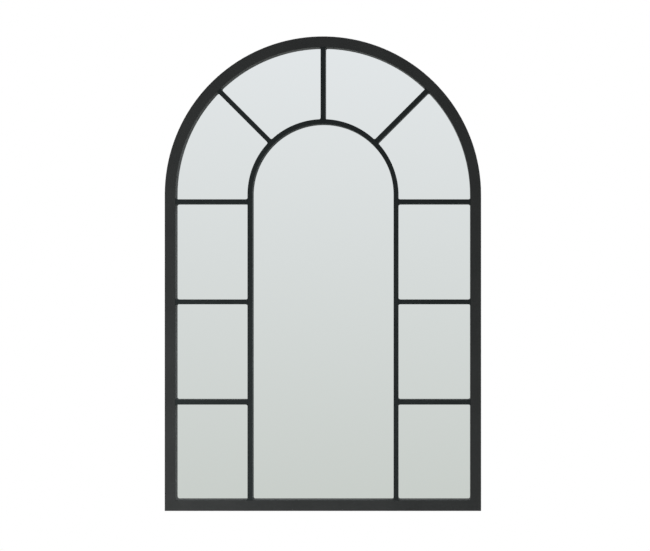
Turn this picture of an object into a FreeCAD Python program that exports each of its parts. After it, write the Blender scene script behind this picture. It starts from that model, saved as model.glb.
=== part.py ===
"""Arched window mirror: a welded steel frame with eleven panes in front of one sheet of mirror glass.

X runs to the right and Z up, and the front faces -Y. The origin is the middle of the underside of the
bottom rail, halfway between the front and the rear of the frame. Lengths are in millimetres.
"""

import FreeCAD, Part
import math
import os

import Sketcher

# Name, value and meaning of every driving dimension, in millimetres or degrees.
DIMENSIONS = (
    ("overall_width", 600, "outside width of the frame, twice the radius of its arch"),
    ("spring_height", 600, "height of the line where the straight sides turn into the arch"),
    ("frame_face", 20.5, "width of the frame seen from the front"),
    ("frame_depth", 25, "frame from front to rear"),
    ("rebate_width", 3, "step in the pane side of the frame that hides the edge of the glass"),
    ("tube_wall", 1.5, "wall of the frame tube"),
    ("tube_edge_radius", 1, "rounding of the long edges of the frame tube"),
    ("bar_face", 9, "width of a glazing bar seen from the front"),
    ("bar_depth", 9, "glazing bar from the front of the frame back to the glass"),
    ("bar_edge_radius", 0.6, "rounding of the front edges of the glazing bars"),
    ("inner_arch_radius", 138.5, "middle line of the inner arch, and of the legs from the centre"),
    ("top_bar_drop", 9, "spring line down to the top edge of the upper side bars"),
    ("radial_bar_angle", 45, "slope of the two outer radial bars"),
    ("weld_radius", 4, "radius of the weld fillets at the bars' ends and in the frame's corners"),
    ("glass_thickness", 4, "mirror glass"),
    ("glass_clearance", 1.5, "gap between the edge of the glass and the rebate"),
    ("block_length", 40, "length of a setting block under the glass"),
    ("block_offset", 139, "middle of a setting block from the centre of the rail"),
    ("foam_thickness", 1, "foam between the glass and the board"),
    ("foam_clearance", 3, "gap between the edge of the foam and the rebate"),
    ("board_thickness", 6, "back board"),
    ("board_clearance", 1, "gap between the edge of the board and the rebate"),
    ("lug_length", 18, "retaining lug from the rebate inwards"),
    ("lug_width", 14, "retaining lug along the frame"),
    ("lug_thickness", 1.5, "retaining lug"),
    ("lug_corner_radius", 3, "rounding of the free corners of a lug"),
    ("lug_hole_inset", 11, "screw hole of a lug from the rebate"),
    ("lug_hole_clearance", 0.35, "radial gap between a lug's hole and its screw"),
    ("lug_weld", 2, "leg of the weld bead on a lug"),
    ("lower_lug_rise", 110, "bottom rail up to the lower lugs on the stiles"),
    ("upper_lug_drop", 150, "spring line down to the upper lugs on the stiles"),
    ("rail_lug_offset", 150, "lugs on the rail from its centre"),
    ("arch_lug_angle", 35, "slope to the outer lugs on the arch, seen from its centre"),
    ("lug_screw_radius", 1.75, "shank of a lug screw"),
    ("lug_screw_length", 6, "lug screw under its head"),
    ("hanger_screw_radius", 1.6, "shank of a hanger screw"),
    ("hanger_screw_length", 9, "hanger screw under its head"),
    ("screw_head_radius", 3.2, "screw head"),
    ("screw_head_height", 2, "screw head"),
    ("screw_crown_radius", 1.2, "rounding of the rim of a screw head"),
    ("screw_recess_width", 0.9, "one arm of the cross recess in a screw head"),
    ("screw_recess_length", 3.4, "cross recess from tip to tip"),
    ("screw_recess_depth", 1.1, "cross recess"),
    ("pilot_clearance", 0.05, "radial gap between a screw and its pilot hole"),
    ("hanger_drop", 40, "spring line down to the hinge line of the hanging rings"),
    ("strap_width", 8.6, "hanger strap across the stile"),
    ("strap_length", 42, "hanger strap below its hinge line"),
    ("strap_thickness", 1.5, "hanger strap and the wall of its rolled eye"),
    ("strap_end_radius", 3.5, "rounding of the lower corners of a strap"),
    ("first_strap_screw", 20, "upper strap screw below the hinge line"),
    ("second_strap_screw", 34, "lower strap screw below the hinge line"),
    ("eye_lift", 0.25, "rise of the eye that keeps the hanging ring off its strap"),
    ("eye_clearance", 0.05, "radial running clearance of the ring in its eye"),
    ("ring_wire_radius", 1.25, "wire of the hanging ring"),
    ("ring_bow_radius", 7.25, "middle line of the round bow of the ring"),
    ("ring_corner_radius", 2.25, "middle line of the two bends beside the eye"),
    ("ring_leg", 4, "straight leg between a bend and the bow"),
    ("ring_joint", 0.3, "gap between the two wire ends inside the eye"),
    ("bumper_radius", 7.5, "foot of a wall bumper on the frame"),
    ("bumper_face_radius", 5.5, "face of a wall bumper on the wall"),
    ("bumper_height", 45, "height of the wall bumpers on the stiles"),
    ("wall_clearance", 0.65, "gap between the hanger eyes and the wall"),
)

# Side bars from the bottom up.
SIDE_BAR_ROWS = ("lower", "middle", "upper")

# Sides of the mirror, and the sign of x on each.
SIDES = (("left", -1), ("right", 1))

# Places and sizes that follow from the driving dimensions, as formulas.
HALF_WIDTH = "(Sizes.overall_width / 2)"
INNER_HALF_WIDTH = f"({HALF_WIDTH} - Sizes.frame_face)"
REAR_FACE = "(Sizes.frame_face - Sizes.rebate_width)"
REBATE_HALF_WIDTH = f"({HALF_WIDTH} - {REAR_FACE})"
REAR_CENTRE = f"({HALF_WIDTH} - {REAR_FACE} / 2)"
FRONT = "(-Sizes.frame_depth / 2)"
REAR = "(Sizes.frame_depth / 2)"
BAR_REAR = f"({FRONT} + Sizes.bar_depth)"
GLASS_REAR = f"({BAR_REAR} + Sizes.glass_thickness)"
FOAM_REAR = f"({GLASS_REAR} + Sizes.foam_thickness)"
BOARD_REAR = f"({FOAM_REAR} + Sizes.board_thickness)"
LUG_REAR = f"({BOARD_REAR} + Sizes.lug_thickness)"
STRAP_REAR = f"({REAR} + Sizes.strap_thickness)"
HALF_BAR = "(Sizes.bar_face / 2)"
INNER_ARCH_INSIDE = f"(Sizes.inner_arch_radius - {HALF_BAR})"
INNER_ARCH_OUTSIDE = f"(Sizes.inner_arch_radius + {HALF_BAR})"
SIDE_BAR_SPAN = f"({INNER_HALF_WIDTH} - {INNER_ARCH_OUTSIDE})"
SIDE_PANE_HEIGHT = (
    "((Sizes.spring_height - Sizes.top_bar_drop - Sizes.frame_face"
    f" - {len(SIDE_BAR_ROWS)} * Sizes.bar_face) / {len(SIDE_BAR_ROWS)})"
)

# A weld fillet is an arc that leaves the side of a bar smoothly and ends on the next piece after nine
# tenths of its radius, before it would run flat along that piece.
WELD_REACH = "(0.9 * Sizes.weld_radius)"
WELD_RISE = f"(Sizes.weld_radius - sqrt(Sizes.weld_radius ^ 2 - {WELD_REACH} ^ 2))"

# The outer ends of an arch lug touch the curved side of the rebate.
ARCH_LUG_RADIUS = f"(sqrt({REBATE_HALF_WIDTH} ^ 2 - (Sizes.lug_width / 2) ^ 2))"

HANGER_HEIGHT = "(Sizes.spring_height - Sizes.hanger_drop)"
EYE_BORE = "(Sizes.ring_wire_radius + Sizes.eye_clearance)"
EYE_RADIUS = f"({EYE_BORE} + Sizes.strap_thickness)"
EYE_AXIS = f"(Sizes.eye_lift + {EYE_RADIUS})"
RING_LEG_END = "(Sizes.ring_corner_radius + Sizes.ring_leg)"
BUMPER_HEIGHT = f"({EYE_AXIS} + {EYE_RADIUS} + Sizes.wall_clearance)"

# Ways round an arc of an outline.
LEFT, RIGHT = 1, -1

DOC = FreeCAD.newDocument("ArchedWindowMirror")
SIZES = DOC.addObject("Spreadsheet::Sheet", "Sizes")
for row, (alias, size, meaning) in enumerate(DIMENSIONS, start=1):
    SIZES.set(f"A{row}", meaning)
    SIZES.set(f"B{row}", str(size))
    SIZES.setAlias(f"B{row}", alias)
DOC.recompute()


def number(formula):
    """The present value of a formula."""
    return float(SIZES.evalExpression(formula))


def new_body(name, x="0", y="0", z="0", turn=None):
    """An empty body with its origin at x, y, z, turned up from +X towards +Z by the formula turn."""
    body = DOC.addObject("PartDesign::Body", name)
    body.Label = name
    if turn is not None:
        no_turn = FreeCAD.Rotation(FreeCAD.Vector(0, -1, 0), 0)
        body.Placement = FreeCAD.Placement(FreeCAD.Vector(), no_turn)
        body.setExpression("Placement.Rotation.Angle", turn)
    for axis, formula in zip("xyz", (x, y, z)):
        body.setExpression(f"Placement.Base.{axis}", formula)
    return body


def new_sketch(body, plane, offset="0"):
    """A sketch on one of the body's origin planes, or at an offset from it along its normal."""
    sketch = body.newObject("Sketcher::SketchObject", f"{body.Name}_sketch")
    origin_plane = next(item for item in body.Origin.OriginFeatures if item.Role == plane)
    sketch.AttachmentSupport = (origin_plane, [""])
    sketch.MapMode = "FlatFace"
    sketch.setExpression("AttachmentOffset.Base.z", offset)
    return sketch


def hold_point(sketch, side, end, x, y):
    """Holds one point of a side at the formulas x and y from the sketch's origin."""
    for kind, formula in (("DistanceX", x), ("DistanceY", y)):
        constraint = Sketcher.Constraint(kind, -1, 1, side, end, number(formula))
        index = sketch.addConstraint(constraint)
        sketch.setExpression(f"Constraints[{index}]", formula)


def hold_radius(sketch, side, radius):
    """Holds the radius of an arc or circle at the formula radius."""
    index = sketch.addConstraint(Sketcher.Constraint("Radius", side, number(radius)))
    sketch.setExpression(f"Constraints[{index}]", radius)


def arc_between(start, end, radius, way):
    """The shorter arc from start to end that turns to the way given."""
    chord = end - start
    to_left = FreeCAD.Vector(-chord.y, chord.x, 0).normalize()
    height = math.sqrt(max(radius**2 - (chord.Length / 2) ** 2, 0))
    centre = (start + end) / 2 + to_left * way * height
    first, last = (start, end) if way == LEFT else (end, start)
    first_angle = math.atan2(first.y - centre.y, first.x - centre.x)
    last_angle = math.atan2(last.y - centre.y, last.x - centre.x)
    if last_angle <= first_angle:
        last_angle += 2 * math.pi
    circle = Part.Circle(centre, FreeCAD.Vector(0, 0, 1), radius)
    return Part.ArcOfCircle(circle, first_angle, last_angle)


def outline(sketch, corners, closed=True):
    """Draws an outline from corner to corner.

    A corner is (x, y), from which a straight side leads on to the next corner, or (x, y, radius, way),
    from which an arc leads on. All but way are formulas.
    """
    first_side = len(sketch.Geometry)
    side_count = len(corners) if closed else len(corners) - 1
    places = [FreeCAD.Vector(number(corner[0]), number(corner[1]), 0) for corner in corners]
    ends = []
    for index in range(side_count):
        start, end = places[index], places[(index + 1) % len(corners)]
        if len(corners[index]) == 2:
            sketch.addGeometry(Part.LineSegment(start, end), False)
            ends.append((1, 2))
        else:
            radius, way = corners[index][2:]
            side = sketch.addGeometry(arc_between(start, end, number(radius), way), False)
            hold_radius(sketch, side, radius)
            ends.append((1, 2) if way == LEFT else (2, 1))
        hold_point(sketch, first_side + index, ends[index][0], *corners[index][:2])
    for index in range(side_count if closed else side_count - 1):
        following = (index + 1) % side_count
        sketch.addConstraint(
            Sketcher.Constraint(
                "Coincident", first_side + index, ends[index][1], first_side + following, ends[following][0]
            )
        )
    if not closed:
        hold_point(sketch, first_side + side_count - 1, ends[-1][1], *corners[-1][:2])


def circle(sketch, x, y, radius):
    """Draws a circle about x, y."""
    centre = FreeCAD.Vector(number(x), number(y), 0)
    side = sketch.addGeometry(Part.Circle(centre, FreeCAD.Vector(0, 0, 1), number(radius)), False)
    hold_point(sketch, side, 3, x, y)
    hold_radius(sketch, side, radius)


def rectangle(low_x, high_x, low_y, high_y):
    """The corners of a rectangle, for outline."""
    return [(low_x, low_y), (high_x, low_y), (high_x, high_y), (low_x, high_y)]


def pad(body, sketch, length, symmetric=False):
    """Raises a sketch into a solid along its normal, or to both sides of it."""
    feature = body.newObject("PartDesign::Pad", f"{body.Name}_pad")
    feature.Profile = sketch
    feature.SideType = "Symmetric" if symmetric else "One side"
    feature.setExpression("Length", length)


def pocket(body, sketch, depth=None, reverse=False):
    """Cuts a sketch out against its normal, or right through the body where no depth is given."""
    DOC.recompute()
    volume_before = body.Shape.Volume
    feature = body.newObject("PartDesign::Pocket", f"{body.Name}_pocket")
    feature.Profile = sketch
    feature.Reversed = reverse
    if depth is None:
        feature.Type = "ThroughAll"
        feature.SideType = "Symmetric"
    else:
        feature.setExpression("Length", depth)
    DOC.recompute()
    if not body.Shape.Volume < volume_before:
        raise RuntimeError(f"{feature.Name} cuts nothing")


def revolve(body, sketch, angle):
    """Turns a sketch about its vertical axis, from its own plane upwards."""
    feature = body.newObject("PartDesign::Revolution", f"{body.Name}_revolution")
    feature.Profile = sketch
    feature.ReferenceAxis = (sketch, ["V_Axis"])
    feature.Angle = angle
    feature.Reversed = True


def round_edges(body, radius, chosen):
    """Rounds those edges of the body that chosen picks."""
    DOC.recompute()
    base = body.Tip
    names = [f"Edge{index}" for index, edge in enumerate(base.Shape.Edges, start=1) if chosen(edge)]
    feature = body.newObject("PartDesign::Fillet", f"{body.Name}_fillet")
    feature.Base = (base, names)
    feature.setExpression("Radius", radius)


def group(name, members):
    """One sub-part that holds several equal solids."""
    compound = DOC.addObject("Part::Compound", name)
    compound.Label = name
    compound.Links = members
    return compound


def tube_section(sketch, place, way=LEFT):
    """Draws the section of the frame tube: rounded outside, square in its rebate and in its hollow.

    place turns a distance outwards from the pane side and a depth into x and y of the sketch, and way is
    the way round that the outline then runs.
    """
    face = "Sizes.frame_face"
    step = "Sizes.rebate_width"
    edge = "Sizes.tube_edge_radius"
    wall = "Sizes.tube_wall"
    outside = [
        (edge, FRONT),
        (f"{face} - {edge}", FRONT, edge, way),
        (face, f"{FRONT} + {edge}"),
        (face, f"{REAR} - {edge}", edge, way),
        (f"{face} - {edge}", REAR),
        (f"{step} + {edge}", REAR, edge, way),
        (step, f"{REAR} - {edge}"),
        (step, BAR_REAR),
        ("0", BAR_REAR),
        ("0", f"{FRONT} + {edge}", edge, way),
    ]
    hollow = [
        (wall, f"{FRONT} + {wall}"),
        (f"{face} - {wall}", f"{FRONT} + {wall}"),
        (f"{face} - {wall}", f"{REAR} - {wall}"),
        (f"{step} + {wall}", f"{REAR} - {wall}"),
        (f"{step} + {wall}", f"{BAR_REAR} - {wall}"),
        (wall, f"{BAR_REAR} - {wall}"),
    ]
    for corners in (outside, hollow):
        outline(sketch, [(*place(*corner[:2]), *corner[2:]) for corner in corners])


def frame_arch():
    """The half-round top of the frame, a bent tube that stands on the stiles."""
    body = new_body("frame_arch", z="Sizes.spring_height")
    section = new_sketch(body, "XY_Plane")
    tube_section(section, lambda outwards, depth: (f"{INNER_HALF_WIDTH} + {outwards}", depth))
    revolve(body, section, 180)
    return body


def stile(side, sign):
    """An upright of the frame: mitred at its foot, with a weld fillet in its corner with the bottom rail.

    Its rear wall is drilled for the hanger screws.
    """
    body = new_body(f"{side}_stile", x=f"{sign} * {REAR_CENTRE}")
    way = LEFT if sign > 0 else RIGHT
    face = "Sizes.frame_face"

    def across(outwards):
        return f"{sign} * ({INNER_HALF_WIDTH} + {outwards} - {REAR_CENTRE})"

    section = new_sketch(body, "XY_Plane")
    tube_section(section, lambda outwards, depth: (across(outwards), depth), way)
    pad(body, section, "Sizes.spring_height")
    mitre = new_sketch(body, "XZ_Plane")
    outline(mitre, [(across(face), "0"), (across("0"), "0"), (across("0"), face)])
    pocket(body, mitre)
    weld = new_sketch(body, "XZ_Plane", offset=f"-{BAR_REAR}")
    corners = [
        (across("0"), face),
        (across(f"-{WELD_RISE}"), face, "Sizes.weld_radius", way),
        (across("0"), f"{face} + {WELD_REACH}"),
    ]
    outline(weld, corners)
    pad(body, weld, "Sizes.bar_depth")
    holes = new_sketch(body, "XZ_Plane")
    for screw_drop in ("Sizes.first_strap_screw", "Sizes.second_strap_screw"):
        hole_radius = "(Sizes.hanger_screw_radius + Sizes.pilot_clearance)"
        circle(holes, "0", f"{HANGER_HEIGHT} - {screw_drop}", hole_radius)
    pocket(body, holes, depth=REAR)
    return body


def bottom_rail():
    """The lowest tube of the frame, mitred at both ends."""
    body = new_body("bottom_rail")
    section = new_sketch(body, "YZ_Plane")
    face = "Sizes.frame_face"
    tube_section(section, lambda outwards, depth: (depth, f"{face} - ({outwards})"))
    pad(body, section, "Sizes.overall_width", symmetric=True)
    mitres = new_sketch(body, "XZ_Plane")
    for _, sign in SIDES:
        end = f"{sign} * {HALF_WIDTH}"
        outline(mitres, [(end, "0"), (end, face), (f"{sign} * {INNER_HALF_WIDTH}", face)])
    pocket(body, mitres)
    return body


def weld_corners(place, out):
    """The corners of a bar's end at place, out being -1 or 1 for the end that points to -X or +X.

    They run from the weld fillet on one side of the bar to the one on the other.
    """
    along = f"{place} - {out} * {WELD_REACH}"
    half_end = f"({HALF_BAR} + {WELD_RISE})"
    return [
        (along, f"{-out} * {HALF_BAR}", "Sizes.weld_radius", RIGHT),
        (place, f"{-out} * {half_end}"),
        (place, f"{out} * {half_end}", "Sizes.weld_radius", RIGHT),
        (along, f"{out} * {HALF_BAR}"),
    ]


def bar(name, start, end, x="0", z="0", turn="0", welded_end=True):
    """A straight glazing bar along its own X axis, with weld fillets at its ends and rounded front edges."""
    body = new_body(name, x=x, y=BAR_REAR, z=z, turn=turn)
    sketch = new_sketch(body, "XZ_Plane")
    if welded_end:
        end_corners = weld_corners(end, 1)
    else:
        end_corners = [(end, f"-{HALF_BAR}"), (end, HALF_BAR)]
    outline(sketch, weld_corners(start, -1) + end_corners)
    pad(body, sketch, "Sizes.bar_depth")
    front = -number("Sizes.bar_depth")
    shortest = number("Sizes.weld_radius") / 2

    def runs_along_front(edge):
        box = edge.BoundBox
        return box.YMax < front + 0.001 and box.XLength > shortest

    round_edges(body, "Sizes.bar_edge_radius", runs_along_front)
    return body


def inner_arch_bar():
    """The half-round bar over the large middle pane, which stands on the two legs."""
    body = new_body("inner_arch_bar", z="Sizes.spring_height")
    section = new_sketch(body, "XY_Plane")
    radius = "Sizes.bar_edge_radius"
    corners = [
        (INNER_ARCH_INSIDE, f"{FRONT} + {radius}", radius, LEFT),
        (f"{INNER_ARCH_INSIDE} + {radius}", FRONT),
        (f"{INNER_ARCH_OUTSIDE} - {radius}", FRONT, radius, LEFT),
        (INNER_ARCH_OUTSIDE, f"{FRONT} + {radius}"),
        (INNER_ARCH_OUTSIDE, BAR_REAR),
        (INNER_ARCH_INSIDE, BAR_REAR),
    ]
    outline(section, corners)
    revolve(body, section, 180)
    return body


def leg_bar(side, sign):
    """An upright bar from the bottom rail to the foot of the inner arch."""
    return bar(
        f"{side}_leg_bar",
        "Sizes.frame_face",
        "Sizes.spring_height",
        x=f"{sign} * Sizes.inner_arch_radius",
        turn="90",
        welded_end=False,
    )


def side_bar(side, sign, row, name):
    """A level bar between a stile and a leg. Row 0 is the lowest."""
    inner_end = f"-{INNER_HALF_WIDTH}" if sign < 0 else INNER_ARCH_OUTSIDE
    height = f"Sizes.frame_face + {row + 1} * {SIDE_PANE_HEIGHT} + {row + 0.5} * Sizes.bar_face"
    return bar(f"{side}_{name}_side_bar", "0", SIDE_BAR_SPAN, x=inner_end, z=height)


def radial_bar(name, turn):
    """A bar from the inner arch to the frame's arch, cut to the round faces of both.

    It is drawn a little too long at its inner end, where the sides of the bar reach the round face later
    than its middle does.
    """
    overlong = "(0.1 * Sizes.weld_radius)"
    start = f"({INNER_ARCH_OUTSIDE} - {overlong})"
    body = bar(name, start, INNER_HALF_WIDTH, z="Sizes.spring_height", turn=turn)
    inner_face = new_sketch(body, "XZ_Plane")
    circle(inner_face, "0", "0", INNER_ARCH_OUTSIDE)
    pocket(body, inner_face)
    frame_face = new_sketch(body, "XZ_Plane")
    circle(frame_face, "0", "0", INNER_HALF_WIDTH)
    circle(frame_face, "0", "0", HALF_WIDTH)
    pocket(body, frame_face)
    return body


def arched_sheet(name, clearance, rear, thickness):
    """A sheet that fills the rebate of the frame to within clearance, with its rear face at rear."""
    body = new_body(name, y=rear)
    half_width = f"({REBATE_HALF_WIDTH} - {clearance})"
    bottom = f"{REAR_FACE} + {clearance}"
    spring = "Sizes.spring_height"
    sketch = new_sketch(body, "XZ_Plane")
    corners = [
        (f"-{half_width}", bottom),
        (half_width, bottom),
        (half_width, spring, half_width, LEFT),
        ("0", f"{spring} + {half_width}", half_width, LEFT),
        (f"-{half_width}", spring),
    ]
    outline(sketch, corners)
    pad(body, sketch, thickness)
    return body


def setting_blocks():
    """Two rubber blocks that carry the lower edge of the glass on the bottom rail."""
    blocks = []
    for side, sign in SIDES:
        body = new_body(f"{side}_setting_block", x=f"{sign} * Sizes.block_offset", y=GLASS_REAR)
        sketch = new_sketch(body, "XZ_Plane")
        half_length = "(Sizes.block_length / 2)"
        top = f"{REAR_FACE} + Sizes.glass_clearance"
        outline(sketch, rectangle(f"-{half_length}", half_length, REAR_FACE, top))
        pad(body, sketch, "Sizes.glass_thickness")
        blocks.append(body)
    return group("glass_setting_blocks", blocks)


def lug_places():
    """The foot of each retaining lug on the frame and the way it points: x, z and turn."""
    places = []
    lower = "Sizes.frame_face + Sizes.lower_lug_rise"
    upper = "Sizes.spring_height - Sizes.upper_lug_drop"
    for height in (lower, upper):
        places.append((f"-{REBATE_HALF_WIDTH}", height, "0"))
        places.append((REBATE_HALF_WIDTH, height, "180"))
    for _, sign in SIDES:
        places.append((f"{sign} * Sizes.rail_lug_offset", REAR_FACE, "90"))
    for angle in ("Sizes.arch_lug_angle", "90", "(180 - Sizes.arch_lug_angle)"):
        x = f"{ARCH_LUG_RADIUS} * cos({angle} * 1deg)"
        z = f"Sizes.spring_height + {ARCH_LUG_RADIUS} * sin({angle} * 1deg)"
        places.append((x, z, f"{angle} + 180"))
    return places


def lug_screw_places():
    """The x and z of each lug's screw."""
    return [
        (
            f"{x} + Sizes.lug_hole_inset * cos(({turn}) * 1deg)",
            f"{z} + Sizes.lug_hole_inset * sin(({turn}) * 1deg)",
        )
        for x, z, turn in lug_places()
    ]


def back_board():
    """The board behind the glass, with a blind pilot hole for each lug screw."""
    body = arched_sheet("back_board", "Sizes.board_clearance", BOARD_REAR, "Sizes.board_thickness")
    holes = new_sketch(body, "XZ_Plane")
    for x, z in lug_screw_places():
        circle(holes, x, z, "(Sizes.lug_screw_radius + Sizes.pilot_clearance)")
    depth = "Sizes.lug_screw_length - Sizes.lug_thickness + Sizes.pilot_clearance"
    pocket(body, holes, depth=depth, reverse=True)
    return body


def retaining_lugs():
    """Flat steel lugs, welded to the inside of the frame, that hold the back board in."""
    lugs = []
    for index, (x, z, turn) in enumerate(lug_places(), start=1):
        body = new_body(f"retaining_lug_{index}", x=x, y=LUG_REAR, z=z, turn=turn)
        sketch = new_sketch(body, "XZ_Plane")
        half_width = "(Sizes.lug_width / 2)"
        length = "Sizes.lug_length"
        radius = "Sizes.lug_corner_radius"
        corners = [
            ("0", f"-{half_width}"),
            (f"{length} - {radius}", f"-{half_width}", radius, LEFT),
            (length, f"{radius} - {half_width}"),
            (length, f"{half_width} - {radius}", radius, LEFT),
            (f"{length} - {radius}", half_width),
            ("0", half_width),
        ]
        outline(sketch, corners)
        circle(sketch, "Sizes.lug_hole_inset", "0", "(Sizes.lug_screw_radius + Sizes.lug_hole_clearance)")
        pad(body, sketch, "Sizes.lug_thickness")
        lugs.append(body)
    return group("retaining_lugs", lugs)


def lug_welds():
    """The weld bead in the corner between the rear of each lug and the frame."""
    beads = []
    leg = "Sizes.lug_weld"
    for index, (x, z, turn) in enumerate(lug_places(), start=1):
        body = new_body(f"lug_weld_{index}", x=x, y=LUG_REAR, z=z, turn=turn)
        sketch = new_sketch(body, "XY_Plane")
        outline(sketch, [("0", "0"), (leg, "0", leg, LEFT), ("0", leg)])
        pad(body, sketch, "Sizes.lug_width", symmetric=True)
        beads.append(body)
    return group("lug_welds", beads)


def screw(name, x, seat, z, radius, length):
    """A pan-head screw with a cross recess, driven towards -Y until its head meets seat."""
    body = new_body(name, x=x, y=seat, z=z)
    profile = new_sketch(body, "XY_Plane")
    head = "Sizes.screw_head_radius"
    height = "Sizes.screw_head_height"
    crown = "Sizes.screw_crown_radius"
    corners = [
        ("0", f"-{length}"),
        (radius, f"{radius} - {length}"),
        (radius, "0"),
        (head, "0"),
        (head, f"{height} - {crown}", crown, LEFT),
        (f"{head} - {crown}", height),
        ("0", height),
    ]
    outline(profile, corners)
    revolve(body, profile, 360)
    recess = new_sketch(body, "XZ_Plane", offset=f"-{height}")
    tip = "(Sizes.screw_recess_length / 2)"
    arm = "(Sizes.screw_recess_width / 2)"
    cross = [
        (arm, f"-{tip}"), (arm, f"-{arm}"), (tip, f"-{arm}"),
        (tip, arm), (arm, arm), (arm, tip),
        (f"-{arm}", tip), (f"-{arm}", arm), (f"-{tip}", arm),
        (f"-{tip}", f"-{arm}"), (f"-{arm}", f"-{arm}"), (f"-{arm}", f"-{tip}"),
    ]
    outline(recess, cross)
    pocket(body, recess, depth="Sizes.screw_recess_depth", reverse=True)
    return body


def lug_screws():
    """The screws that hold the back board to the lugs."""
    screws = [
        screw(f"lug_screw_{index}", x, LUG_REAR, z, "Sizes.lug_screw_radius", "Sizes.lug_screw_length")
        for index, (x, z) in enumerate(lug_screw_places(), start=1)
    ]
    return group("lug_screws", screws)


def hanger_strap(side, sign):
    """A strap on the rear of a stile, rolled at its upper end into the eye of the hanging ring."""
    place = f"{sign} * {REAR_CENTRE}"
    body = new_body(f"{side}_hanger_strap", x=place, y=REAR, z=HANGER_HEIGHT)
    strap = new_sketch(body, "YZ_Plane")
    outline(strap, rectangle("0", "Sizes.strap_thickness", "-Sizes.strap_length", "0"))
    pad(body, strap, "Sizes.strap_width", symmetric=True)
    eye = new_sketch(body, "YZ_Plane")
    circle(eye, EYE_AXIS, "0", EYE_RADIUS)
    pad(body, eye, "Sizes.strap_width", symmetric=True)
    bore = new_sketch(body, "YZ_Plane")
    circle(bore, EYE_AXIS, "0", EYE_BORE)
    pocket(body, bore)
    holes = new_sketch(body, "XZ_Plane")
    for screw_drop in ("Sizes.first_strap_screw", "Sizes.second_strap_screw"):
        circle(holes, "0", f"-{screw_drop}", "(Sizes.hanger_screw_radius + Sizes.pilot_clearance)")
    pocket(body, holes)
    foot = -number("Sizes.strap_length")

    def is_lower_corner(edge):
        box = edge.BoundBox
        return box.ZMax < foot + 0.001 and box.XLength < 0.001

    round_edges(body, "Sizes.strap_end_radius", is_lower_corner)
    return body


def hanger_ring(side, sign):
    """A D-shaped wire ring that swings in its eye, drawn as it hangs down behind the strap."""
    place = f"{sign} * {REAR_CENTRE}"
    body = new_body(f"{side}_hanger_ring", x=place, y=f"{REAR} + {EYE_AXIS}", z=HANGER_HEIGHT)
    path = new_sketch(body, "XZ_Plane")
    half_joint = "(Sizes.ring_joint / 2)"
    bow = "Sizes.ring_bow_radius"
    corner = "Sizes.ring_corner_radius"
    corners = [
        (half_joint, "0"),
        (f"{bow} - {corner}", "0", corner, RIGHT),
        (bow, f"-{corner}"),
        (bow, f"-{RING_LEG_END}", bow, RIGHT),
        ("0", f"-{RING_LEG_END} - {bow}", bow, RIGHT),
        (f"-{bow}", f"-{RING_LEG_END}"),
        (f"-{bow}", f"-{corner}", corner, RIGHT),
        (f"{corner} - {bow}", "0"),
        (f"-{half_joint}", "0"),
    ]
    outline(path, corners, closed=False)
    section = new_sketch(body, "YZ_Plane", offset=half_joint)
    circle(section, "0", "0", "Sizes.ring_wire_radius")
    DOC.recompute()
    pipe = body.newObject("PartDesign::AdditivePipe", f"{body.Name}_pipe")
    pipe.Profile = section
    pipe.Spine = (path, [f"Edge{index}" for index in range(1, len(corners))])
    return body


def hanger_screws(side, sign):
    """The two screws that hold a strap to its stile."""
    screws = []
    for name, screw_drop in (("upper", "Sizes.first_strap_screw"), ("lower", "Sizes.second_strap_screw")):
        screws.append(
            screw(
                f"{side}_{name}_hanger_screw",
                f"{sign} * {REAR_CENTRE}",
                STRAP_REAR,
                f"{HANGER_HEIGHT} - {screw_drop}",
                "Sizes.hanger_screw_radius",
                "Sizes.hanger_screw_length",
            )
        )
    return group(f"{side}_hanger_screws", screws)


def wall_bumper(side, sign):
    """A rubber bumper that keeps the lower corner as far off the wall as the hangers keep the top."""
    place = f"{sign} * {REAR_CENTRE}"
    body = new_body(f"{side}_wall_bumper", x=place, y=REAR, z="Sizes.bumper_height")
    profile = new_sketch(body, "XY_Plane")
    edge = "(Sizes.bumper_radius - Sizes.bumper_face_radius)"
    corners = [
        ("0", "0"),
        ("Sizes.bumper_radius", "0"),
        ("Sizes.bumper_radius", f"{BUMPER_HEIGHT} - {edge}", edge, LEFT),
        ("Sizes.bumper_face_radius", BUMPER_HEIGHT),
        ("0", BUMPER_HEIGHT),
    ]
    outline(profile, corners)
    revolve(body, profile, 360)
    return body


def all_parts():
    """Every separate piece of the mirror, from the front to the rear."""
    parts = [frame_arch(), bottom_rail(), inner_arch_bar()]
    for side, sign in SIDES:
        parts.append(stile(side, sign))
        parts.append(leg_bar(side, sign))
        for row, name in enumerate(SIDE_BAR_ROWS):
            parts.append(side_bar(side, sign, row, name))
    parts.append(radial_bar("right_radial_bar", "Sizes.radial_bar_angle"))
    parts.append(radial_bar("centre_radial_bar", "90"))
    parts.append(radial_bar("left_radial_bar", "180 - Sizes.radial_bar_angle"))
    parts.append(
        arched_sheet("mirror_glass", "Sizes.glass_clearance", GLASS_REAR, "Sizes.glass_thickness")
    )
    parts.append(setting_blocks())
    parts.append(arched_sheet("backing_foam", "Sizes.foam_clearance", FOAM_REAR, "Sizes.foam_thickness"))
    parts.append(back_board())
    parts.append(retaining_lugs())
    parts.append(lug_welds())
    parts.append(lug_screws())
    for side, sign in SIDES:
        parts.append(hanger_strap(side, sign))
        parts.append(hanger_ring(side, sign))
        parts.append(hanger_screws(side, sign))
        parts.append(wall_bumper(side, sign))
    return parts


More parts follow.
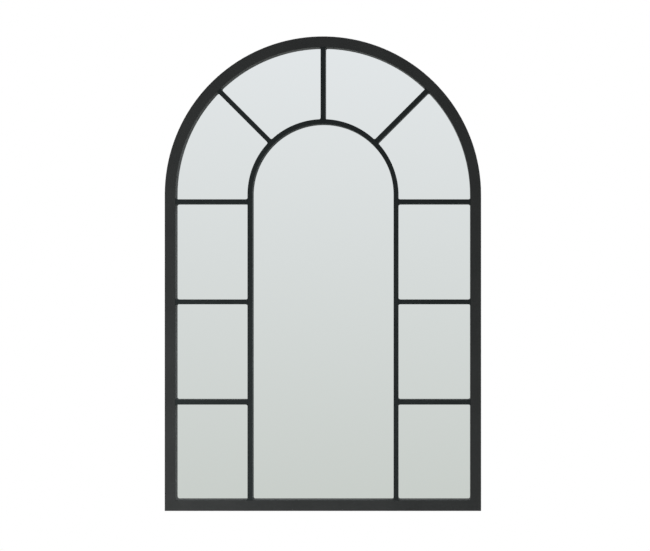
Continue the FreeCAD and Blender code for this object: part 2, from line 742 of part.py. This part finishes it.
def main():
    """Builds the mirror, makes sure that it is sound, and writes one file for each sub-part."""
    parts = all_parts()
    DOC.recompute()
    for item in DOC.Objects:
        if {"Invalid", "Error"} & set(item.State):
            raise RuntimeError(f"{item.Label} failed: {item.State}")
    for part in parts:
        if part.Shape.isNull() or not part.Shape.isValid() or not part.Shape.Solids:
            raise RuntimeError(f"{part.Label} has no valid shape")
    os.makedirs("parts", exist_ok=True)
    for part in parts:
        part.Shape.exportStep(os.path.join("parts", f"{part.Label}.step"))
        box = part.Shape.optimalBoundingBox(False, False)
        print(
            f"{part.Label:24s} solids {len(part.Shape.Solids):2d}  volume {part.Shape.Volume:10.1f}"
            f"  x {box.XMin:8.2f} {box.XMax:8.2f}  y {box.YMin:7.2f} {box.YMax:7.2f}"
            f"  z {box.ZMin:7.2f} {box.ZMax:7.2f}"
        )


main()
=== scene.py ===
"""Looks of the arched window mirror: materials, light, floor and camera. Lengths are in metres."""

import math

import bpy
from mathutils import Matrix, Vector


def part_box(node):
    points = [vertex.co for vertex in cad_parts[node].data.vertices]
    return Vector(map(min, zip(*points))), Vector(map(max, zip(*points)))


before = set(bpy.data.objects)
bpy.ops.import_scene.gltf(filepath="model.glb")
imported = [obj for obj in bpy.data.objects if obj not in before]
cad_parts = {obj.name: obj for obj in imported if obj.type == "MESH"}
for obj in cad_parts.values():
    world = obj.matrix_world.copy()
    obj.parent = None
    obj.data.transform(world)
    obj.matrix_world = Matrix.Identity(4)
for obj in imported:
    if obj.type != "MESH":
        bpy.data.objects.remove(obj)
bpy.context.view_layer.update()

# Camera: the photograph was taken from the right of the middle, square to the mirror. The sideways shift of
# the lens brings the mirror back to the middle of the picture.
CAMERA_PLACE = (0.203, -1.9625, 0.4465)
CAMERA_LENS_MM = 56.98
CAMERA_SENSOR_MM = 36
CAMERA_SHIFT_X = -0.1615

# Powder coats: the darkest and the lightest tone, and how strongly the coat reflects. The bars' coat is
# slightly darker and cooler than the frame's, as in the photograph.
FRAME_COAT = {"dark": (0.0280, 0.0295, 0.0290), "light": (0.0350, 0.0365, 0.0360), "specular": 0.11}
BAR_COAT = {"dark": (0.0200, 0.0240, 0.0240), "light": (0.0255, 0.0300, 0.0300), "specular": 0.03}
COAT_ROUGHNESS = 0.45
COAT_ROUGHNESS_SPREAD = 0.04

# Mirror glass: a point this close to the front or rear of the pane belongs to that face. The mirror's
# roughness varies between two values, and the other faces are rougher by one more.
GLASS_SKIN = 0.0001
MIRROR_COLOR = (0.89, 0.905, 0.9, 1)
GLASS_EDGE_COLOR = (0.16, 0.3, 0.24, 1)
REAR_PAINT_COLOR = (0.2, 0.21, 0.21, 1)
MIRROR_ROUGHNESS = (0.006, 0.02)
OTHER_FACES_ROUGHNESS = 0.4

# Floor: the mirror hangs above it. It fades out between these two shares of its radius.
FLOOR_HEIGHT = -0.45
FLOOR_RADIUS = 1.4
FLOOR_SIDES = 96
FLOOR_FADE = (0.55, 0.98)

# Studio: the tones that the mirror shows, by height from straight down (0) to straight up (1), and the
# strength of the light that falls evenly from all round. A direction that points behind the mirror shows
# white instead, from the first of the last two values of its Y to the second.
STUDIO_AHEAD = [
    (0.0, (0.80, 0.80, 0.80)),
    (0.39, (0.65, 0.68, 0.65)),
    (0.61, (0.857, 0.879, 0.900)),
    (1.0, (0.60, 0.60, 0.60)),
]
STUDIO_LIGHT = 0.11
STUDIO_WHITE_FROM = 0.0
STUDIO_WHITE_FULL = 0.5
WHITE = (1, 1, 1, 1)

# Most values of a noise texture lie between these two.
NOISE_LOW = 0.3
NOISE_HIGH = 0.7

# Sockets that share their name with others of the same node go by number: those of a Mix node that mixes
# colors, and those of a Mix Shader node.
MIX_SHARE = 0
MIX_FIRST = 6
MIX_SECOND = 7
MIX_RESULT = 2
MIX_SHADER_FIRST = 1
MIX_SHADER_SECOND = 2


def set_camera():
    """The photograph's view."""
    data = bpy.data.cameras.new("camera")
    data.sensor_fit = "HORIZONTAL"
    data.sensor_width = CAMERA_SENSOR_MM
    data.lens = CAMERA_LENS_MM
    data.shift_x = CAMERA_SHIFT_X
    camera = bpy.data.objects.new("camera", data)
    camera.location = CAMERA_PLACE
    camera.rotation_euler = (math.radians(90), 0, 0)
    bpy.context.scene.collection.objects.link(camera)
    bpy.context.scene.camera = camera
    bpy.context.scene.view_settings.view_transform = "Standard"


class Nodes:
    """A new material or world tree, with short ways to add nodes and link them."""

    def __init__(self, owner):
        owner.use_nodes = True
        self.tree = owner.node_tree
        self.tree.nodes.clear()

    def add(self, kind, **inputs):
        """A new node. An input's name is written with underscores for spaces."""
        node = self.tree.nodes.new(kind)
        for name, value in inputs.items():
            self.feed(node.inputs[name.replace("_", " ")], value)
        return node

    def feed(self, socket, value):
        """Links a socket to another node's output, or sets it to a plain value."""
        if isinstance(value, bpy.types.NodeSocket):
            self.tree.links.new(value, socket)
        else:
            socket.default_value = value

    def math(self, operation, *values):
        """The result of one operation of a Math node."""
        node = self.tree.nodes.new("ShaderNodeMath")
        node.operation = operation
        for socket, value in zip(node.inputs, values):
            self.feed(socket, value)
        return node.outputs[0]

    def average(self, first, second, share):
        """The average of two values, where the second counts with this share."""
        first_part = self.math("MULTIPLY", first, 1 - share)
        second_part = self.math("MULTIPLY", second, share)
        return self.math("ADD", first_part, second_part)

    def range(self, value, low, high, to_low, to_high):
        """A value that runs from to_low to to_high while the given one runs from low to high."""
        span = {"From_Min": low, "From_Max": high, "To_Min": to_low, "To_Max": to_high}
        return self.add("ShaderNodeMapRange", Value=value, **span).outputs["Result"]

    def spread(self, noise, to_low, to_high):
        """A value that follows a noise from to_low to to_high."""
        return self.range(noise, NOISE_LOW, NOISE_HIGH, to_low, to_high)

    def ramp(self, value, stops):
        """A color that runs through the stops, which are pairs of a value and its color."""
        node = self.add("ShaderNodeValToRGB", Fac=value)
        elements = node.color_ramp.elements
        while len(elements) < len(stops):
            elements.new(1)
        for element, (position, color) in zip(elements, stops):
            element.position = position
            element.color = (*color, 1)
        return node.outputs["Color"]

    def place(self, stretch=(1, 1, 1)):
        """The shaded point in the object's own frame. A larger stretch makes a pattern finer."""
        coordinates = self.add("ShaderNodeTexCoord").outputs["Object"]
        return self.add("ShaderNodeMapping", Vector=coordinates, Scale=stretch).outputs["Vector"]

    def noise(self, scale, detail, roughness=0.5, stretch=(1, 1, 1)):
        """A noise texture's value at the shaded point."""
        settings = {"Scale": scale, "Detail": detail, "Roughness": roughness}
        return self.add("ShaderNodeTexNoise", Vector=self.place(stretch), **settings).outputs["Fac"]

    def mix(self, share, first, second, blend="MIX"):
        """Two colors blended: the first alone where the share is 0, and the full blend where it is 1."""
        node = self.tree.nodes.new("ShaderNodeMix")
        node.data_type = "RGBA"
        node.blend_type = blend
        for socket, value in ((MIX_SHARE, share), (MIX_FIRST, first), (MIX_SECOND, second)):
            self.feed(node.inputs[socket], value)
        return node.outputs[MIX_RESULT]

    def mix_shaders(self, share, first, second):
        """The first shader where the share is 0, and the second where it is 1."""
        node = self.add("ShaderNodeMixShader", Fac=share)
        self.feed(node.inputs[MIX_SHADER_FIRST], first.outputs[0])
        self.feed(node.inputs[MIX_SHADER_SECOND], second.outputs[0])
        return node

    def bump(self, height, distance):
        """A surface direction that follows a height of up to this distance."""
        return self.add("ShaderNodeBump", Height=height, Distance=distance).outputs["Normal"]

    def principled(self, **inputs):
        """A Principled shader with these inputs as the whole surface."""
        self.finish(self.add("ShaderNodeBsdfPrincipled", **inputs), "ShaderNodeOutputMaterial")

    def finish(self, shader, output_kind):
        """Sends a shader to the tree's output."""
        self.add(output_kind, Surface=shader.outputs[0])


def material(name):
    """A new material and its node tree."""
    made = bpy.data.materials.new(name)
    return made, Nodes(made)


def powder_coat(name, dark, light, specular):
    """Black powder coat on steel: a fine orange peel, and a slightly uneven tone."""
    made, nodes = material(name)
    patches = nodes.noise(scale=14, detail=3)
    grain = nodes.noise(scale=1400, detail=2)
    peel = nodes.noise(scale=700, detail=2, roughness=0.6)
    tone = nodes.average(patches, grain, share=0.3)
    smooth = COAT_ROUGHNESS - COAT_ROUGHNESS_SPREAD
    rough = COAT_ROUGHNESS + COAT_ROUGHNESS_SPREAD
    nodes.principled(
        Base_Color=nodes.ramp(tone, [(0.35, dark), (0.65, light)]),
        Roughness=nodes.spread(patches, smooth, rough),
        Specular_IOR_Level=specular,
        Normal=nodes.bump(peel, distance=0.0001),
    )
    return made


def silvered_glass():
    """A mirror seen from the front, with green glass edges and grey paint over the silver at the rear."""
    made, nodes = material("silvered_glass")
    pane_front, pane_rear = (corner.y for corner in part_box("mirror_glass"))
    depth = nodes.add("ShaderNodeSeparateXYZ", Vector=nodes.place()).outputs["Y"]
    front = nodes.math("LESS_THAN", depth, pane_front + GLASS_SKIN)
    rear = nodes.math("GREATER_THAN", depth, pane_rear - GLASS_SKIN)
    elsewhere = nodes.math("SUBTRACT", 1.0, front)
    film = nodes.spread(nodes.noise(scale=9, detail=4), *MIRROR_ROUGHNESS)
    edge_or_rear = nodes.mix(rear, GLASS_EDGE_COLOR, REAR_PAINT_COLOR)
    nodes.principled(
        Base_Color=nodes.mix(front, edge_or_rear, MIRROR_COLOR),
        Metallic=front,
        Roughness=nodes.math("ADD", nodes.math("MULTIPLY", elsewhere, OTHER_FACES_ROUGHNESS), film),
        Normal=nodes.bump(nodes.noise(scale=4, detail=0), distance=0.00002),
    )
    return made


def zinc_plate():
    """Bright zinc plating, slightly clouded, with fine drawing lines."""
    made, nodes = material("zinc_plate")
    clouds = nodes.noise(scale=160, detail=4)
    lines = nodes.noise(scale=900, detail=2, stretch=(6, 1, 0.25))
    nodes.principled(
        Base_Color=nodes.ramp(clouds, [(0.3, (0.36, 0.37, 0.39)), (0.7, (0.52, 0.53, 0.54))]),
        Metallic=1,
        Roughness=nodes.spread(clouds, 0.28, 0.42),
        Normal=nodes.bump(lines, distance=0.00001),
    )
    return made


def rubber():
    """Dark grey moulded rubber."""
    made, nodes = material("moulded_rubber")
    bloom = nodes.noise(scale=120, detail=4)
    nodes.principled(
        Base_Color=nodes.ramp(bloom, [(0.3, (0.016, 0.016, 0.017)), (0.75, (0.034, 0.034, 0.035))]),
        Roughness=nodes.spread(bloom, 0.65, 0.8),
        Normal=nodes.bump(nodes.noise(scale=2500, detail=1), distance=0.00002),
    )
    return made


def foam():
    """White closed-cell foam."""
    made, nodes = material("white_foam")
    cells = nodes.add("ShaderNodeTexVoronoi", Vector=nodes.place(), Scale=900.0).outputs["Distance"]
    nodes.principled(
        Base_Color=nodes.ramp(cells, [(0.0, (0.72, 0.72, 0.7)), (0.6, (0.84, 0.84, 0.82))]),
        Roughness=0.85,
        Normal=nodes.bump(cells, distance=0.0002),
    )
    return made


def fibreboard():
    """Raw medium-density fibreboard: fine short fibres with darker flecks."""
    made, nodes = material("fibreboard")
    fibres = nodes.noise(scale=420, detail=5, roughness=0.7, stretch=(1, 1, 0.35))
    cloud = nodes.noise(scale=7, detail=3)
    flecks = nodes.noise(scale=1700, detail=1, stretch=(0.5, 1, 0.4))
    board = nodes.ramp(
        nodes.average(fibres, cloud, share=0.35),
        [(0.3, (0.30, 0.195, 0.115)), (0.55, (0.40, 0.275, 0.17)), (0.75, (0.47, 0.34, 0.22))],
    )
    fleck_share = nodes.range(flecks, 0.64, 0.74, 0.0, 0.35)
    nodes.principled(
        Base_Color=nodes.mix(fleck_share, board, (0.45, 0.36, 0.27, 1), blend="MULTIPLY"),
        Roughness=0.82,
        Normal=nodes.bump(fibres, distance=0.00008),
    )
    return made


def dress_nodes():
    """Gives each slot of the CAD's pieces its finish. The bars have a coat of their own."""
    finishes = {
        "black_steel": powder_coat("frame_powder_coat", **FRAME_COAT),
        "bar_steel": powder_coat("bar_powder_coat", **BAR_COAT),
        "mirror_glass": silvered_glass(),
        "zinc_steel": zinc_plate(),
        "rubber": rubber(),
        "foam": foam(),
        "board": fibreboard(),
    }
    for name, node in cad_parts.items():
        for slot in node.material_slots:
            slot.material = finishes["bar_steel" if name.endswith("_bar") else slot.material.name]


def pale_floor():
    """A pale floor that fades out towards its rim."""
    made, nodes = material("pale_floor")
    away = nodes.add("ShaderNodeVectorMath", Vector=nodes.place())
    away.operation = "LENGTH"
    fade_start, fade_end = (share * FLOOR_RADIUS for share in FLOOR_FADE)
    cover = nodes.range(away.outputs["Value"], fade_start, fade_end, 1.0, 0.0)
    specks = nodes.noise(scale=60, detail=3)
    color = nodes.ramp(specks, [(0.3, (0.85, 0.85, 0.85)), (0.7, (0.88, 0.88, 0.88))])
    paper = nodes.add("ShaderNodeBsdfPrincipled", Base_Color=color, Roughness=0.9)
    clear = nodes.add("ShaderNodeBsdfTransparent")
    nodes.finish(nodes.mix_shaders(cover, clear, paper), "ShaderNodeOutputMaterial")
    return made


def studio_world():
    """White behind the mirror, and a pale studio in front that the mirror and the metal show."""
    world = bpy.data.worlds.new("studio")
    bpy.context.scene.world = world
    nodes = Nodes(world)
    coordinates = nodes.add("ShaderNodeTexCoord").outputs["Generated"]
    direction = nodes.add("ShaderNodeSeparateXYZ", Vector=coordinates)
    path = nodes.add("ShaderNodeLightPath")
    height = nodes.range(direction.outputs["Z"], -1.0, 1.0, 0.0, 1.0)
    ahead = nodes.ramp(height, STUDIO_AHEAD)
    behind = nodes.range(direction.outputs["Y"], STUDIO_WHITE_FROM, STUDIO_WHITE_FULL, 0.0, 1.0)
    white = nodes.math("MAXIMUM", behind, path.outputs["Is Camera Ray"])
    backdrop = nodes.add("ShaderNodeBackground", Color=nodes.mix(white, ahead, WHITE), Strength=1.0)
    light = nodes.add("ShaderNodeBackground", Color=WHITE, Strength=STUDIO_LIGHT)
    shown = nodes.math("MAXIMUM", path.outputs["Is Glossy Ray"], path.outputs["Is Transmission Ray"])
    shown = nodes.math("MAXIMUM", shown, path.outputs["Is Camera Ray"])
    nodes.finish(nodes.mix_shaders(shown, light, backdrop), "ShaderNodeOutputWorld")


def soft_sun(name, strength, softness, azimuth, elevation, color=(1, 1, 1)):
    """A soft sun. Its angles are in degrees, and azimuth 0 is straight in front and 90 at the right."""
    data = bpy.data.lights.new(name, "SUN")
    data.energy = strength
    data.color = color
    data.angle = math.radians(softness)
    lamp = bpy.data.objects.new(name, data)
    lamp.rotation_euler = (math.radians(90 - elevation), 0, math.radians(azimuth))
    bpy.context.scene.collection.objects.link(lamp)


def soft_spot(name, watts, radius, place, target, cone, edge):
    """A soft spot aimed at a point, with its cone in degrees. The camera and the mirror don't see it."""
    data = bpy.data.lights.new(name, "SPOT")
    data.energy = watts
    data.shadow_soft_size = radius
    data.spot_size = math.radians(cone)
    data.spot_blend = edge
    lamp = bpy.data.objects.new(name, data)
    lamp.location = place
    lamp.rotation_euler = (Vector(target) - Vector(place)).to_track_quat("-Z", "Y").to_euler()
    lamp.visible_camera = False
    lamp.visible_glossy = False
    bpy.context.scene.collection.objects.link(lamp)


set_camera()
dress_nodes()

bpy.ops.mesh.primitive_circle_add(
    vertices=FLOOR_SIDES,
    radius=FLOOR_RADIUS,
    fill_type="NGON",
    location=(0, 0, FLOOR_HEIGHT),
)
floor = bpy.context.object
floor.name = "floor"
floor.data.materials.append(pale_floor())

studio_world()

# The spot gives the photograph's fall in tone from the lower left to the top of the frame, and the side sun
# the cool light on the walls that face right. The last sun lights the rear.
soft_spot(
    "low_left",
    watts=36.0,
    radius=0.2,
    place=(-0.7, -0.9, -0.1),
    target=(0.0, 0.0, 0.40),
    cone=90,
    edge=0.5,
)
soft_sun("key", strength=0.3, softness=40, azimuth=-35, elevation=50)
soft_sun("side", strength=3.0, softness=40, azimuth=85, elevation=25, color=(0.92, 0.96, 1.0))
soft_sun("rear_fill", strength=2.7, softness=60, azimuth=200, elevation=30)
